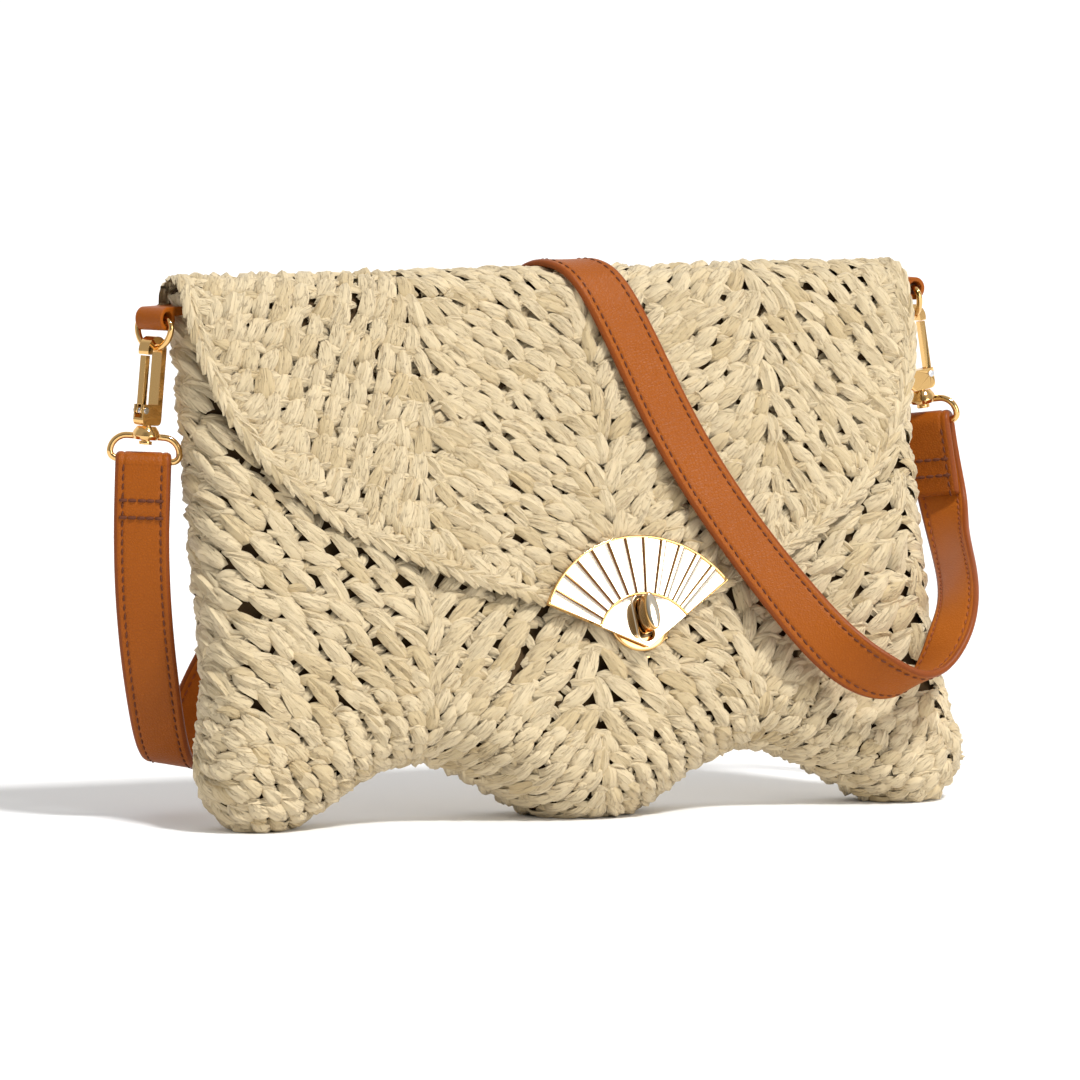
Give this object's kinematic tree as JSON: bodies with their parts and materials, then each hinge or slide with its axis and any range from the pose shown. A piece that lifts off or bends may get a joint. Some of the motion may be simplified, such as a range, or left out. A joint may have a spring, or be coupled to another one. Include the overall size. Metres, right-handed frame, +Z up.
{
  "type": "crossbody purse",
  "caption": "Crocheted raffia crossbody purse with scalloped base lobes, a fold-over flap, a fan-shaped turn-lock clasp and a clip-on leather strap.",
  "frame": {"origin": "on the floor under the middle of the base, on the flat of the middle lobe", "axes": "+X to the bag's right as its front is seen, +Y to the back, +Z up"},
  "size_m": [0.3396, 0.1174, 0.2009],
  "materials": {
    "raffia": "crocheted paper raffia, matt",
    "lining_cloth": "plain woven cotton",
    "leather": "fine grain, painted edges",
    "gold_metal": "polished light gold plate",
    "steel": "plain"
  },
  "bodies": {
    "bag": {"front_panel": "raffia", "back_panel": "raffia", "lining": "lining_cloth", "turnlock_base": "gold_metal", "turnlock_washer": "steel", "tab_left": "leather", "tab_right": "leather", "tab_stud_left": "gold_metal", "tab_stud_right": "gold_metal", "swivel_eye_left": "gold_metal", "swivel_eye_right": "gold_metal", "strap": "leather", "strap_end_left": "leather", "strap_end_right": "leather"},
    "flap": {"flap_panel": "raffia", "flap_edging": "raffia", "fan_base_plate": "gold_metal", "fan_leaves": "gold_metal", "fan_rim": "gold_metal", "fan_pivot_plate": "gold_metal", "fan_backing_plate": "steel", "fan_rivets": "steel"},
    "knob": {"turnlock_knob": "gold_metal", "turnlock_spindle": "gold_metal"},
    "ring_left": {"tab_ring_left": "gold_metal"},
    "clip_left": {"clip_hook_left": "gold_metal", "gate_pin_left": "gold_metal", "gate_spring_left": "steel", "swivel_spindle_left": "gold_metal"},
    "gate_left": {"clip_gate_left": "gold_metal"},
    "ring_right": {"tab_ring_right": "gold_metal"},
    "clip_right": {"clip_hook_right": "gold_metal", "gate_pin_right": "gold_metal", "gate_spring_right": "steel", "swivel_spindle_right": "gold_metal"},
    "gate_right": {"clip_gate_right": "gold_metal"}
  },
  "joints": [
    {"name": "flap_hinge", "type": "hinge", "parent": "bag", "child": "flap", "pos_m": [0, 0.05389, 0.19135], "axis": [-1, 0, 0], "range_deg": [0, 160], "deforming": ["strap"]},
    {"name": "knob_turn", "type": "hinge", "parent": "bag", "child": "knob", "pos_m": [0.0186, -0.00292, 0.07074], "axis": [0, -0.9518, 0.3066], "range_deg": [0, 90]},
    {"name": "ring_swing_left", "type": "hinge", "parent": "bag", "child": "ring_left", "pos_m": [-0.151, 0.04, 0.182], "axis": [-0.4981, 0.866, 0.0436], "range_deg": [-3, 3]},
    {"name": "clip_swivel_left", "type": "hinge", "parent": "bag", "child": "clip_left", "pos_m": [-0.15449, 0.04, 0.14215], "axis": [0.0872, 0, 0.9962], "range_deg": [-9, 9]},
    {"name": "gate_open_left", "type": "hinge", "parent": "clip_left", "child": "gate_left", "pos_m": [-0.15725, 0.03805, 0.14927], "axis": [-0.4981, 0.866, 0.0436], "range_deg": [0, 13], "stiffness_Nm_per_rad": 0.01, "springref_deg": -11.46},
    {"name": "ring_swing_right", "type": "hinge", "parent": "bag", "child": "ring_right", "pos_m": [0.149, 0.046, 0.186], "axis": [-0.1375, 0.9903, -0.0218], "range_deg": [-3, 3]},
    {"name": "clip_swivel_right", "type": "hinge", "parent": "bag", "child": "clip_right", "pos_m": [0.15526, 0.046, 0.14649], "axis": [-0.1564, 0, 0.9877], "range_deg": [-9, 9]},
    {"name": "gate_open_right", "type": "hinge", "parent": "clip_right", "child": "gate_right", "pos_m": [0.158, 0.04654, 0.15386], "axis": [0.1375, -0.9903, 0.0218], "range_deg": [0, 13], "stiffness_Nm_per_rad": 0.01, "springref_deg": -11.46}
  ]
}
